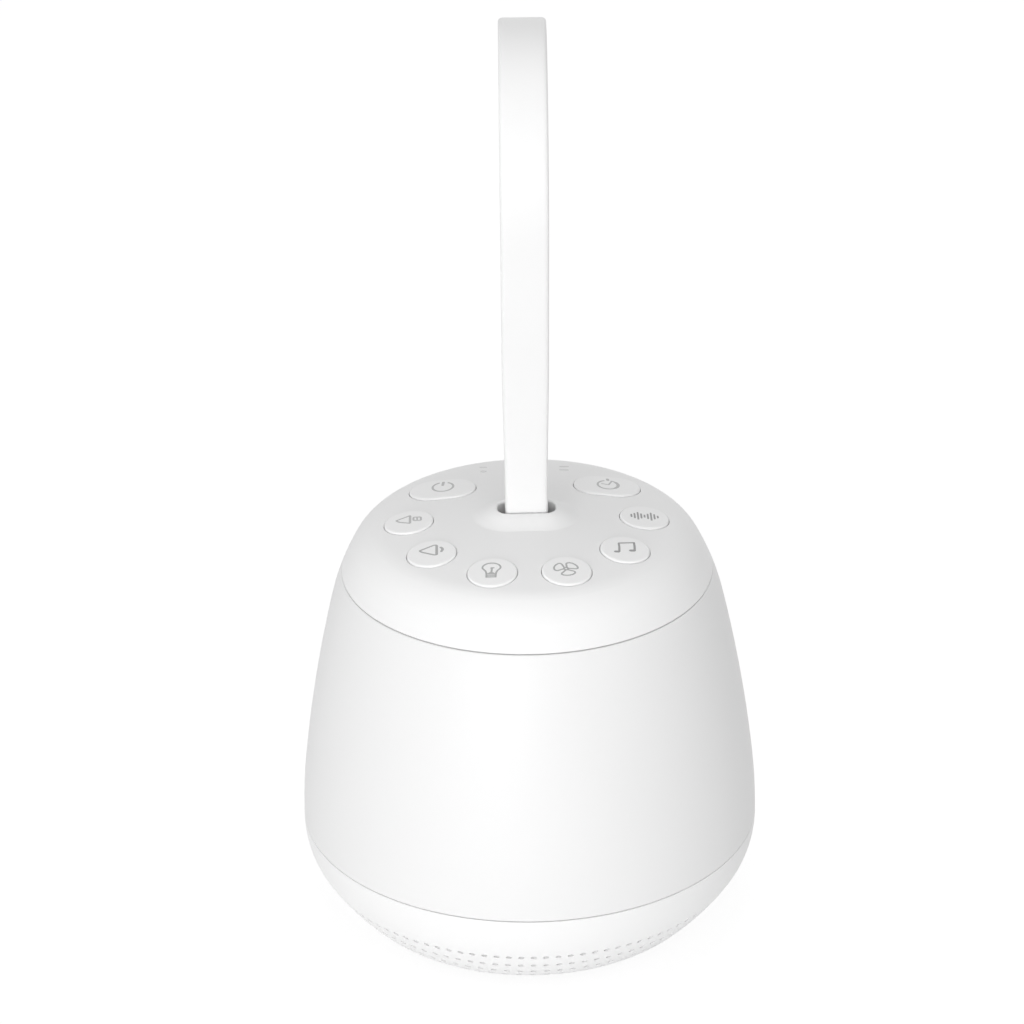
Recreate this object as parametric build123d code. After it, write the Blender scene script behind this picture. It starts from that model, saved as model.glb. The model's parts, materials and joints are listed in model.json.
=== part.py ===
"""Portable white noise sound machine with a translucent lantern body and a carrying strap.

Millimetres, +Z up, origin at the centre of the rubber foot's underside.  -Y is the front: the
light and fan buttons are there, the power and timer buttons and the charging socket are at +Y.
"""
import math
import os

from build123d import *

os.makedirs("parts", exist_ok=True)

# ---- Body outline: arcs that meet tangentially, turned about Z -----------------------------
# A heading is the direction of the outline, from 0 (outwards, under the floor) to 180 (inwards).
FLOOR_RADIUS = 31.76
FOOT_PROUD = 0.93
HEEL_RADIUS = 10.98
HEEL_ANGLE = 44.7
GRILLE_ANGLE = 57.0
BELLY_RADIUS = 17.95
WAIST_RADIUS = 123.7
WAIST_ANGLE = 96.45
FLANK_RADIUS = 323.6
FLANK_ANGLE = 103.4
NECK_RADIUS = 50.0
NECK_ANGLE = 119.05
SHOULDER_RADIUS = 9.8
SHOULDER_ANGLE = 152.0
BROW_RADIUS = 8.0
BROW_ANGLE = 171.5

# ---- Shells and their joints ------------------------------------------------------------------
SEAM_LOW = 23.8
SEAM_HIGH = 82.8
SEAM_GAP = 0.16
SEAM_EDGE = 0.25
BASE_WALL = 2.2
LANTERN_WALL = 2.2
CAP_WALL = 2.2
LIP_HEIGHT = 2.4
LIP_THICK = 1.5
LIP_CLEAR = 0.1
LIP_ROOT = 2.6

# ---- Sound holes around the foot of the base --------------------------------------------------
SOUND_HOLE_D = 1.3
SOUND_START = -90.6
SOUND_ROWS = ((110, 56.2), (100, 51.6), (90, 47.4), (80, 42.6))

# ---- Rubber foot -------------------------------------------------------------------------------
FOOT_INNER_R = 23.0
FOOT_WIDTH = 6.2
FOOT_DEEP = 0.6
FOOT_CLEAR = 0.15
FOOT_ROUND = 0.4

# ---- Screws: shank radius, head radius, head height --------------------------------------------
SCREW_M26 = (1.3, 2.2, 1.8)
SCREW_M2 = (1.0, 1.8, 1.3)
SCREW_FIT = 0.05
SCREW_FREE = 0.15
BOSS_WALL = 1.5
SCREW_TIP_ROOM = 1.0

# ---- Core frame --------------------------------------------------------------------------------
DECK_Z = 14.4
DECK_THICK = 2.0
DECK_CLEAR = 0.4
COLUMN_INNER_R = 18.5
COLUMN_WALL = 1.8
COLUMN_TOP_GAP = 0.85
COLUMN_WEB = 2.0
WIRE_HOLE_R = 4.0
SHELF_Z = 33.0
SHELF_THICK = 1.5
BASE_SCREW_RING = 26.1
BASE_SCREW_ANGLES = (-90, 30, 150)
BASE_SCREW_WELL = 6.0
BASE_SCREW_WEB = 2.0
BASE_SCREW_GRIP = 6.0
CORE_SCREW_RING = 12.5
CORE_SCREW_GRIP = 6.0

# ---- Speaker, facing down under the deck -------------------------------------------------------
SPEAKER_FLANGE_R = 20.8
SPEAKER_FLANGE = 1.0
GASKET_THICK = 0.5
SPEAKER_EAR_RING = 22.6
SPEAKER_EAR_R = 2.4
SPEAKER_EAR_ANGLES = (90, 210, 330)
SPEAKER_SCREW_GRIP = 3.6
BASKET_THICK = 0.8
BASKET_CLEAR = 0.3
BASKET_SIDE = 4.6
BASKET_WAIST_R = 14.2
BASKET_DEPTH = 8.4
BASKET_WINDOWS = 4
MAGNET_R = 13.6
MAGNET_HEIGHT = 4.4
YOKE_THICK = 1.5
COIL_R = 6.5
COIL_THICK = 0.4
COIL_GAP = 0.25
CONE_THICK = 0.6
CONE_EDGE_R = 13.4
CONE_TRAVEL = 1.0
SURROUND_GAP = 0.15
SURROUND_THICK = 0.5

# ---- Light -------------------------------------------------------------------------------------
LIGHT_BOARD_Z = 26.0
LIGHT_BOARD_THICK = 1.2
LIGHT_BOARD_R = 42.0
LIGHT_BOARD_GAP = 0.5
LIGHT_CHIPS = 12
LIGHT_CHIP_RING = 31.0
LIGHT_CHIP = (3.5, 3.5, 1.2)
REFLECTOR_THICK = 0.8
REFLECTOR_CLEAR = 0.4
REFLECTOR_WINDOW_GAP = 0.4
LIGHT_POST_RING = 38.0
LIGHT_POST_ANGLES = (-30, 30, 150, 210)
LIGHT_SCREW_GRIP = 4.0

# ---- Battery -----------------------------------------------------------------------------------
CELL = (30.0, 8.0, 40.0)
CELL_ROUND = 1.5
CELL_PAD = (20.0, 1.5, 28.0)
POCKET_WALL = 1.5
POCKET_HEIGHT = 34.0

# ---- Main board and charging socket; places on the board count back from its front edge --------
MAIN_BOARD_GAP = 1.0
MAIN_BOARD_THICK = 1.6
MAIN_BOARD_WIDTH = 44.0
MAIN_BOARD_FRONT = 25.6
MAIN_BOARD_CLEAR = 0.6
MAIN_POSTS = ((-18.0, 3.0), (18.0, 3.0), (-13.0, 14.0), (13.0, 14.0))
MAIN_SCREW_GRIP = 2.4
USB_OUTER = (8.94, 3.16)
USB_WALL = 0.3
USB_LENGTH = 7.35
USB_INSET = 0.8
USB_ABOVE_BOARD = 0.3
USB_HOLE_CLEAR = 0.3
USB_NOTCH_CLEAR = 0.2
USB_TONGUE = (6.6, 0.7, 5.0)
CHIPS = ((-11.0, 8.4, 7.0, 7.0, 1.0), (-2.5, 9.0, 5.0, 4.0, 1.2), (9.0, 10.0, 3.2, 3.2, 0.9))
LEAD_SOCKET = (4.6, 4.2, 4.5)
LEAD_SOCKET_BACK = 1.6
LIGHT_HEADER = (7.6, 2.5)
LIGHT_HEADER_PLACE = (15.4, 8.4)

# ---- Leads inside the column -------------------------------------------------------------------
LEAD_R = 1.0
LEAD_BEND = 3.5
LEAD_X = 5.0
LEAD_WALL_GAP = 0.2
LEAD_RISE = 2.7
LEAD_HOLE_CLEAR = 0.3
LEAD_SEAT_GAP = 0.1
SPEAKER_LEAD_R = 0.7

# ---- Button board and switches -----------------------------------------------------------------
BUTTON_BOARD_THICK = 1.6
BUTTON_BOARD_INNER_R = 16.6
BUTTON_BOARD_CLEAR = 0.4
CAP_REFLECTOR_THICK = 1.0
BUTTON_SCREW_RING = 33.2
BUTTON_SCREW_ANGLES = (-126, -54, 70, 110)
BUTTON_SCREW_GRIP = 3.6
SWITCH_SIZE = 6.0
SWITCH_HEIGHT = 3.5
PLUNGER_R = 1.7
PLUNGER_CLEAR = 0.15
PLUNGER_DEEP = 1.1
PLUNGER_END_GAP = 0.2
STEM_CLEAR = 0.7
STEM_LENGTH = 0.8

# ---- Buttons -----------------------------------------------------------------------------------
BUTTON_RING = 25.3
BUTTON_D = 10.55
BUTTON_GAP = 0.12
BUTTON_EDGE = 0.2
BUTTON_PROUD = 0.35
BUTTON_ROUND = 0.45
BUTTON_TRAVEL = 0.5
FLANGE_WIDTH = 0.8
FLANGE_GAP = 0.2
FLANGE_THICK = 1.0
STEM_R = 2.2
OVAL_LENGTH = 14.5
OVAL_WIDTH = 10.4
POWER_TILT = 0.0
TIMER_TILT = -6.0
OVAL_PLACE = (17.9, 15.3)

# ---- Indicator windows -------------------------------------------------------------------------
PIPE_PLACE = (8.87, 24.6)
PIPE_D = 1.3
PIPE_DASH = (2.1, 0.9)
PIPE_CLEAR = 0.05
PIPE_FLANGE = 0.6
PIPE_LED = (1.6, 0.8, 0.7)
PIPE_LED_GAP = 0.3

# ---- Strap and the slot it stands in -----------------------------------------------------------
STRAP_WIDTH = 9.8
STRAP_THICK = 2.5
STRAP_ROUND = 0.9
LEG_SPACING = 3.0
LOOP_WIDTH = 53.5
FLARE_HEIGHT = 40.2
OVERALL_HEIGHT = 206.6
CROTCH_HEIGHT = 1.6
SLOT_LENGTH = 12.4
SLOT_CLEAR = 0.3
SLOT_CORNER = 2.4
SLOT_EDGE = 0.4
COLLAR_HEIGHT = 1.82
COLLAR_LAND = 0.5
COLLAR_SLOPE = 5.3
COLLAR_BROW = 1.2
COLLAR_TOE = 1.8
FOLD_ABOVE_COLLAR = 1.9
FOLD_CLEAR = 0.35
ANCHOR_BELOW_COLLAR = 0.1
PIN_R = 1.25
PIN_FIT = 0.05
PIN_BELOW_CROWN = 6.3
EAR_THICK = 2.2
EAR_GAP = 0.1
EAR_HALF_DEPTH = 3.4
EAR_BELOW_PIN = 2.6
PIN_END = 0.2

FAR = 400.0


# ---- Outline -----------------------------------------------------------------------------------
def outline_arcs(depth=0.0, brow=True):
    """Arcs (centre r, centre z, radius, start, end heading) of the outline moved in by depth."""
    segments = [(HEEL_RADIUS, HEEL_ANGLE), (None, GRILLE_ANGLE), (BELLY_RADIUS, 90.0)]
    segments += [(WAIST_RADIUS, WAIST_ANGLE), (FLANK_RADIUS, FLANK_ANGLE), (NECK_RADIUS, NECK_ANGLE)]
    segments += [(SHOULDER_RADIUS, SHOULDER_ANGLE), (BROW_RADIUS, BROW_ANGLE), (None, 180.0)]
    arcs = []
    r, z, heading = FLOOR_RADIUS, FOOT_PROUD, 0.0
    for radius, end in segments:
        sine, cosine = math.sin(math.radians(heading)), math.cos(math.radians(heading))
        if radius is None:
            radius = r / sine
        centre = (r - radius * sine, z + radius * cosine)
        arcs.append((*centre, radius - depth, heading, end))
        r = centre[0] + radius * math.sin(math.radians(end))
        z = centre[1] - radius * math.cos(math.radians(end))
        heading = end
    return arcs if brow else arcs[:-2]


def arc_point(arc, heading):
    centre_r, centre_z, radius = arc[:3]
    angle = math.radians(heading)
    return (centre_r + radius * math.sin(angle), centre_z - radius * math.cos(angle))


def turned_outline(depth, brow):
    """The outline's solid of revolution; without its brow, the last arc runs on straight."""
    arcs = outline_arcs(depth, brow)
    first, last = arc_point(arcs[0], 0.0), arc_point(arcs[-1], arcs[-1][4])
    if not brow:
        last_heading = math.radians(arcs[-1][4])
        top = (0.0, last[1] + last[0] * math.sin(last_heading) / -math.cos(last_heading))
    with BuildSketch(Plane.XZ) as sketch:
        with BuildLine():
            for arc in arcs:
                middle = (arc[3] + arc[4]) / 2
                ThreePointArc(arc_point(arc, arc[3]), arc_point(arc, middle), arc_point(arc, arc[4]))
            if not brow:
                Line(last, top)
                last = top
            Polyline(last, (0, first[1]), first)
        make_face()
    return revolve(sketch.sketch, Axis.Z)


def body(depth=0.0):
    """Everything inside the outline moved in by depth; a negative depth moves it out."""
    if depth <= 0:
        return turned_outline(depth, True)
    crown = outline_arcs(depth)[-1]
    return turned_outline(depth, False) & Pos(0, 0, crown[1]) * Sphere(crown[2])


def outer_r(z, depth=0.0):
    """Radius of the outline, moved in by depth, at height z below the shoulder."""
    for centre_r, centre_z, radius, start, end in outline_arcs(depth):
        low, high = (centre_z - radius * math.cos(math.radians(a)) for a in (start, end))
        if low <= z <= high:
            return centre_r + math.sqrt(radius**2 - (centre_z - z) ** 2)
    raise ValueError(f"no outline at height {z}")


def crown_z(r, depth=0.0):
    """Height of the crown, moved in by depth, at radius r."""
    crown = outline_arcs(depth)[-1]
    return crown[1] + math.sqrt(crown[2] ** 2 - r**2)


# ---- Small helpers -----------------------------------------------------------------------------
def tube(outer, inner, low, high):
    """A ring between two radii and two heights."""
    middle = Pos(0, 0, (low + high) / 2)
    return middle * Cylinder(outer, high - low) - middle * Cylinder(inner, high - low)


def post(x, y, radius, low, high):
    return Pos(x, y, (low + high) / 2) * Cylinder(radius, high - low)


def block(x, y, width, depth, low, high):
    return Pos(x, y, (low + high) / 2) * Box(width, depth, high - low)


def slab(low, high):
    return block(0, 0, FAR, FAR, low, high)


def ring_places(ring, angles):
    return [(ring * math.cos(math.radians(a)), ring * math.sin(math.radians(a))) for a in angles]


def screw(x, y, size, head_z, tip_z):
    """A pan head screw; its head sits against head_z and its shank runs to tip_z."""
    shank, head, height = size
    away = -1 if tip_z > head_z else 1
    low, high = sorted((head_z, head_z + away * height))
    low_tip, high_tip = sorted((head_z, tip_z))
    return post(x, y, head, low, high) + post(x, y, shank, low_tip, high_tip)


def group(solids):
    return Compound(children=list(solids))


# ---- Values that several parts share -----------------------------------------------------------
DECK_TOP = DECK_Z + DECK_THICK
COLUMN_OUTER_R = COLUMN_INNER_R + COLUMN_WALL
FLOOR_TOP = FOOT_PROUD + BASE_WALL
BASE_HEAD_Z = FLOOR_TOP + BASE_SCREW_WELL
BASE_BOSS_R = SCREW_M26[1] + SCREW_FREE + BOSS_WALL
GRIP_BOSS_R = SCREW_M26[0] + BOSS_WALL
SMALL_BOSS_R = SCREW_M2[0] + BOSS_WALL
CELL_Z = SHELF_Z + SHELF_THICK
POCKET_Y = CELL[1] / 2 + CELL_PAD[1]
MAIN_BOARD_Z = DECK_TOP + MAIN_BOARD_GAP
MAIN_BOARD_TOP = MAIN_BOARD_Z + MAIN_BOARD_THICK
MAIN_SCREWS = [(x, MAIN_BOARD_FRONT + back) for x, back in MAIN_POSTS]
LEAD_SOCKET_Y = MAIN_BOARD_FRONT + LEAD_SOCKET_BACK
USB_Z = MAIN_BOARD_Z + MAIN_BOARD_THICK / 2 + USB_ABOVE_BOARD
USB_MOUTH_Y = math.sqrt(outer_r(USB_Z) ** 2 - (USB_OUTER[0] / 2) ** 2) - USB_INSET
LEAD_Z = MAIN_BOARD_TOP + LEAD_RISE
LEAD_RING = COLUMN_INNER_R - LEAD_WALL_GAP - LEAD_HOLE_CLEAR - LEAD_R
LEAD_Y = math.sqrt(LEAD_RING**2 - LEAD_X**2)
LIGHT_BOARD_TOP = LIGHT_BOARD_Z + LIGHT_BOARD_THICK
REFLECTOR_TOP = LIGHT_BOARD_TOP + REFLECTOR_THICK
LIGHT_POSTS = ring_places(LIGHT_POST_RING, LIGHT_POST_ANGLES)
LIGHT_INNER_R = COLUMN_OUTER_R + LIGHT_BOARD_GAP
LIP_INNER_LOW = outer_r(SEAM_LOW, LANTERN_WALL) - LIP_CLEAR - LIP_THICK
LIP_INNER_HIGH = outer_r(SEAM_HIGH, LANTERN_WALL) - LIP_CLEAR - LIP_THICK
FLANGE_REACH = BUTTON_RING + BUTTON_D / 2 + BUTTON_GAP + FLANGE_WIDTH
FLANGE_Z = crown_z(FLANGE_REACH, CAP_WALL + FLANGE_GAP) - FLANGE_THICK
PLUNGER_TOP = FLANGE_Z - STEM_LENGTH
SWITCH_TOP = PLUNGER_TOP - BUTTON_TRAVEL - STEM_CLEAR
PLUNGER_LOW = SWITCH_TOP - PLUNGER_DEEP
BUTTON_BOARD_TOP = SWITCH_TOP - SWITCH_HEIGHT
BUTTON_BOARD_Z = BUTTON_BOARD_TOP - BUTTON_BOARD_THICK
BUTTON_BOARD_R = LIP_INNER_HIGH - BUTTON_BOARD_CLEAR
COLUMN_TOP_Z = BUTTON_BOARD_Z - COLUMN_TOP_GAP
BUTTON_SCREWS = ring_places(BUTTON_SCREW_RING, BUTTON_SCREW_ANGLES)
BUTTON_HEAD_Z = BUTTON_BOARD_Z - CAP_REFLECTOR_THICK
CORE_SCREWS = ring_places(CORE_SCREW_RING, BASE_SCREW_ANGLES)
BASE_SCREWS = ring_places(BASE_SCREW_RING, BASE_SCREW_ANGLES)
SPEAKER_EARS = ring_places(SPEAKER_EAR_RING, SPEAKER_EAR_ANGLES)
FLANGE_TOP_Z = DECK_Z - GASKET_THICK
FLANGE_LOW_Z = FLANGE_TOP_Z - SPEAKER_FLANGE
BASKET_R = COLUMN_INNER_R - BASKET_CLEAR
BASKET_TOP = FLANGE_TOP_Z + BASKET_DEPTH
PLATE_HOLE_R = COIL_R + COIL_THICK / 2 + COIL_GAP
STRAP_HALF = (LEG_SPACING + STRAP_THICK) / 2
COLLAR_Z = crown_z(0) + COLLAR_HEIGHT
SLOT_REACH = STRAP_HALF + SLOT_CLEAR
COLLAR_HALF = SLOT_LENGTH / 2 - SLOT_REACH
FOLD_Z = COLLAR_Z + FOLD_ABOVE_COLLAR
PIN_Z = crown_z(0) - PIN_BELOW_CROWN
EAR_X = SLOT_LENGTH / 2 + EAR_GAP
PIN_HALF = EAR_X + EAR_THICK - PIN_END


# ---- Buttons' places: name, x, y, and the tilt of an oval one (None when round) ------------------
def button_places():
    """Six round buttons on a ring, counted from the front, and two ovals behind the strap."""
    ring = {"light": -18, "fan": 18, "volume_down": -54, "lullaby": 54, "volume_up": -90, "white_noise": 90}
    places = {name: (*ring_places(BUTTON_RING, [angle - 90])[0], None) for name, angle in ring.items()}
    places["power"] = (-OVAL_PLACE[0], OVAL_PLACE[1], POWER_TILT)
    places["timer"] = (OVAL_PLACE[0], OVAL_PLACE[1], TIMER_TILT)
    return places


BUTTONS = button_places()


def button_prism(place, grow, low, high):
    """A button's outline, grown outwards, as a prism between two heights."""
    x, y, tilt = place
    if tilt is None:
        return post(x, y, BUTTON_D / 2 + grow, low, high)
    outline = SlotOverall(OVAL_LENGTH + 2 * grow, OVAL_WIDTH + 2 * grow)
    return Pos(x, y, low) * Rot(0, 0, tilt) * extrude(outline, high - low)


# ---- Shells ------------------------------------------------------------------------------------
def round_seam(shell, z):
    """Rounds the shell's outer edge at height z, where it meets the next shell."""
    reach = outer_r(z)
    level = shell.edges().filter_by_position(Axis.Z, z - 0.01, z + 0.01)
    outer = [e for e in level if abs(math.hypot((e @ 0).X, (e @ 0).Y) - reach) < 0.01]
    return fillet(outer, SEAM_EDGE)


def sound_holes():
    """Round holes square to the skin, in rings that each hold ten fewer towards the floor."""
    arcs = outline_arcs()
    drill = Cylinder(SOUND_HOLE_D / 2, 4 * BASE_WALL)
    holes = []
    for count, heading in SOUND_ROWS:
        arc = next(a for a in arcs if a[3] <= heading <= a[4])
        r, z = arc_point(arc, heading)
        for k in range(count):
            turn = Rot(0, 0, SOUND_START + 360 * k / count)
            holes.append(turn * Pos(r, 0, z) * Rot(0, -heading, 0) * drill)
    return holes


def base_shell():
    top = SEAM_LOW - SEAM_GAP / 2
    shell = round_seam((body() - body(BASE_WALL)) & slab(0, top), top)
    lip_r = LIP_INNER_LOW + LIP_THICK
    shell += tube(lip_r, LIP_INNER_LOW, SEAM_LOW - LIP_ROOT, SEAM_LOW + LIP_HEIGHT)
    root_r = outer_r(SEAM_LOW - LIP_ROOT, BASE_WALL / 2)
    shell += tube(root_r, LIP_INNER_LOW, SEAM_LOW - LIP_ROOT, SEAM_LOW - SEAM_GAP / 2)
    for x, y in BASE_SCREWS:
        shell += post(x, y, BASE_BOSS_R, FOOT_PROUD + FOOT_DEEP, DECK_Z)
    groove = tube(FOOT_INNER_R + FOOT_WIDTH, FOOT_INNER_R, 0, FOOT_PROUD + FOOT_DEEP)
    cuts = [groove]
    for x, y in BASE_SCREWS:
        cuts.append(post(x, y, SCREW_M26[1] + SCREW_FREE, 0, BASE_HEAD_Z))
        cuts.append(post(x, y, SCREW_M26[0] + SCREW_FREE, 0, FAR))
    port = extrude(SlotOverall(USB_OUTER[0] + 2 * USB_HOLE_CLEAR, USB_OUTER[1] + 2 * USB_HOLE_CLEAR), FAR)
    cuts.append(Pos(0, MAIN_BOARD_FRONT, USB_Z) * Rot(-90, 0, 0) * port)
    return shell - cuts - sound_holes()


def lantern_shell():
    low, high = SEAM_LOW + SEAM_GAP / 2, SEAM_HIGH - SEAM_GAP / 2
    shell = (body() - body(LANTERN_WALL)) & slab(low, high)
    return round_seam(round_seam(shell, low), high)


def collar():
    """The raised rim round the strap slot: a narrow land, then a soft slope down to the crown."""
    land = SLOT_REACH + COLLAR_LAND
    foot = land + COLLAR_SLOPE
    foot_z = crown_z(foot + COLLAR_HALF)
    low = foot_z - CAP_WALL / 2
    with BuildSketch(Plane.YZ) as half:
        with BuildLine():
            Line((0, low), (foot, low))
            Line((foot, low), (foot, foot_z))
            toe, brow = (foot - COLLAR_TOE, foot_z), (land + COLLAR_BROW, COLLAR_Z)
            Bezier((foot, foot_z), toe, brow, (land, COLLAR_Z))
            Polyline((land, COLLAR_Z), (0, COLLAR_Z), (0, low))
        make_face()
    side = extrude(half.sketch, COLLAR_HALF, both=True)
    end = revolve(half.sketch, Axis.Z)
    return side + side.mirror(Plane.XZ) + [Pos(x, 0, 0) * end for x in (-COLLAR_HALF, COLLAR_HALF)]


def is_key_rim(edge):
    """True on the outer edge of an opening that a key comes up through."""
    spots = [edge @ t for t in (0, 0.5)]
    level = all(abs(p.Z - crown_z(math.hypot(p.X, p.Y))) < 0.01 for p in spots)
    reach = OVAL_LENGTH / 2 + BUTTON_GAP + 0.01
    return level and any(math.hypot(spots[0].X - x, spots[0].Y - y) < reach for x, y, _ in BUTTONS.values())


def top_cap():
    low = SEAM_HIGH + SEAM_GAP / 2
    cap = round_seam((body() - body(CAP_WALL)) & slab(low, FAR), low)
    lip_r = LIP_INNER_HIGH + LIP_THICK
    cap += tube(lip_r, LIP_INNER_HIGH, SEAM_HIGH - LIP_HEIGHT, SEAM_HIGH + LIP_ROOT)
    root_r = outer_r(SEAM_HIGH, CAP_WALL / 2)
    root = tube(root_r, LIP_INNER_HIGH, SEAM_HIGH + SEAM_GAP / 2, SEAM_HIGH + LIP_ROOT)
    cap += root & body(CAP_WALL / 2)
    hanging = [post(x, y, SMALL_BOSS_R, BUTTON_BOARD_TOP, FAR) for x, y in BUTTON_SCREWS]
    hanging += [post(x, y, GRIP_BOSS_R, COLUMN_TOP_Z, FAR) for x, y in CORE_SCREWS]
    for side in (-1, 1):
        middle = side * (EAR_X + EAR_THICK / 2)
        hanging.append(block(middle, 0, EAR_THICK, 2 * EAR_HALF_DEPTH, PIN_Z - EAR_BELOW_PIN, FAR))
    inside = body(CAP_WALL / 2)
    cap += [piece & inside for piece in hanging]
    cap += collar()
    cuts = [button_prism(place, BUTTON_GAP, SWITCH_TOP, FAR) for place in BUTTONS.values()]
    slot = RectangleRounded(SLOT_LENGTH, 2 * SLOT_REACH, SLOT_CORNER)
    cuts.append(Pos(0, 0, PIN_Z) * extrude(slot, FAR))
    cuts.append(Pos(0, 0, PIN_Z) * Rot(0, 90, 0) * Cylinder(PIN_R + PIN_FIT, 2 * PIN_HALF + 2 * PIN_END))
    for x, y in BUTTON_SCREWS:
        tip = BUTTON_BOARD_TOP + BUTTON_SCREW_GRIP + SCREW_TIP_ROOM
        cuts.append(post(x, y, SCREW_M2[0] + SCREW_FIT, BUTTON_BOARD_TOP, tip))
    for x, y in CORE_SCREWS:
        tip = COLUMN_TOP_Z + CORE_SCREW_GRIP + SCREW_TIP_ROOM
        cuts.append(post(x, y, SCREW_M26[0] + SCREW_FIT, COLUMN_TOP_Z, tip))
    cuts += [pipe_prism(side, PIPE_CLEAR, SWITCH_TOP, FAR) for side in (-1, 1)]
    cap -= cuts
    rims = [e for e in cap.edges() if is_key_rim(e)]
    cap = fillet(rims, BUTTON_EDGE)
    mouth = [e for e in cap.edges().filter_by_position(Axis.Z, COLLAR_Z - 0.01, COLLAR_Z + 0.01)
             if abs(e.center().Y) <= SLOT_REACH + 0.01 and abs(e.center().X) <= SLOT_LENGTH / 2 + 0.01]
    return fillet(mouth, SLOT_EDGE)


def foot_ring():
    inner = FOOT_INNER_R + FOOT_CLEAR
    outer = FOOT_INNER_R + FOOT_WIDTH - FOOT_CLEAR
    ring = tube(outer, inner, 0, FOOT_PROUD + FOOT_DEEP)
    return fillet(ring.edges().filter_by_position(Axis.Z, -0.01, 0.01), FOOT_ROUND)


# ---- Core frame and its screws -----------------------------------------------------------------
def core_frame():
    deck_r = outer_r(DECK_Z, BASE_WALL) - DECK_CLEAR
    frame = tube(deck_r, COLUMN_INNER_R, DECK_Z, DECK_TOP)
    frame += tube(COLUMN_OUTER_R, COLUMN_INNER_R, DECK_Z, COLUMN_TOP_Z)
    grip_top = DECK_Z + BASE_SCREW_GRIP + SCREW_TIP_ROOM
    frame += [post(x, y, GRIP_BOSS_R, DECK_Z, grip_top + SCREW_TIP_ROOM) for x, y in BASE_SCREWS]
    ear_top = DECK_Z + SPEAKER_SCREW_GRIP + SCREW_TIP_ROOM
    frame += [post(x, y, SMALL_BOSS_R, DECK_Z, ear_top) for x, y in SPEAKER_EARS]
    frame += [post(x, y, SMALL_BOSS_R, DECK_Z, LIGHT_BOARD_Z) for x, y in LIGHT_POSTS]
    frame += [post(x, y, SMALL_BOSS_R, DECK_Z, MAIN_BOARD_Z) for x, y in MAIN_SCREWS]
    bore = Pos(0, 0, COLUMN_TOP_Z / 2) * Cylinder(COLUMN_INNER_R, COLUMN_TOP_Z)
    frame -= bore
    inner = post(0, 0, COLUMN_INNER_R + COLUMN_WALL / 2, SHELF_Z, COLUMN_TOP_Z)
    webs = tube(COLUMN_OUTER_R, WIRE_HOLE_R, COLUMN_TOP_Z - COLUMN_WEB, COLUMN_TOP_Z)
    webs += tube(COLUMN_OUTER_R - COLUMN_WALL / 2, WIRE_HOLE_R, SHELF_Z, CELL_Z)
    frame += webs
    for side in (-1, 1):
        wall_y = side * (POCKET_Y + POCKET_WALL / 2)
        wall = block(0, wall_y, FAR, POCKET_WALL, CELL_Z, CELL_Z + POCKET_HEIGHT)
        frame += wall & inner
    cuts = []
    for x, y in BASE_SCREWS:
        cuts.append(post(x, y, SCREW_M26[0] + SCREW_FIT, DECK_Z, grip_top))
    for x, y in SPEAKER_EARS:
        cuts.append(post(x, y, SCREW_M2[0] + SCREW_FIT, DECK_Z, ear_top))
    for x, y in LIGHT_POSTS:
        low = LIGHT_BOARD_Z - LIGHT_SCREW_GRIP - SCREW_TIP_ROOM
        cuts.append(post(x, y, SCREW_M2[0] + SCREW_FIT, low, LIGHT_BOARD_Z))
    for x, y in MAIN_SCREWS:
        cuts.append(post(x, y, SCREW_M2[0] + SCREW_FIT, DECK_Z, MAIN_BOARD_Z))
    for x, y in CORE_SCREWS:
        cuts.append(post(x, y, SCREW_M26[0] + SCREW_FREE, COLUMN_TOP_Z - COLUMN_WEB, COLUMN_TOP_Z))
    lead_hole_r = LEAD_R + LEAD_HOLE_CLEAR
    for x in (-LEAD_X, LEAD_X):
        cuts.append(post(x, LEAD_Y, lead_hole_r, SHELF_Z, CELL_Z))
    cuts.append(post(-LEAD_X, LEAD_Y, lead_hole_r, COLUMN_TOP_Z - COLUMN_WEB, COLUMN_TOP_Z))
    window_half = LEAD_X + LEAD_R + LEAD_HOLE_CLEAR
    window_top = LEAD_Z + LEAD_BEND
    cuts.append(block(0, LEAD_SOCKET_Y / 2, 2 * window_half, LEAD_SOCKET_Y, MAIN_BOARD_TOP, window_top))
    return frame - cuts


def base_screws():
    tip = DECK_Z + BASE_SCREW_GRIP
    return group(screw(x, y, SCREW_M26, BASE_HEAD_Z, tip) for x, y in BASE_SCREWS)


def core_screws():
    tip = COLUMN_TOP_Z + CORE_SCREW_GRIP
    return group(screw(x, y, SCREW_M26, COLUMN_TOP_Z - COLUMN_WEB, tip) for x, y in CORE_SCREWS)


# ---- Speaker -----------------------------------------------------------------------------------
def turned(points):
    """A solid of revolution about Z from a closed polygon of (r, z) points."""
    with BuildSketch(Plane.XZ) as sketch:
        with BuildLine():
            Polyline(*points, close=True)
        make_face()
    return revolve(sketch.sketch, Axis.Z)


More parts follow.
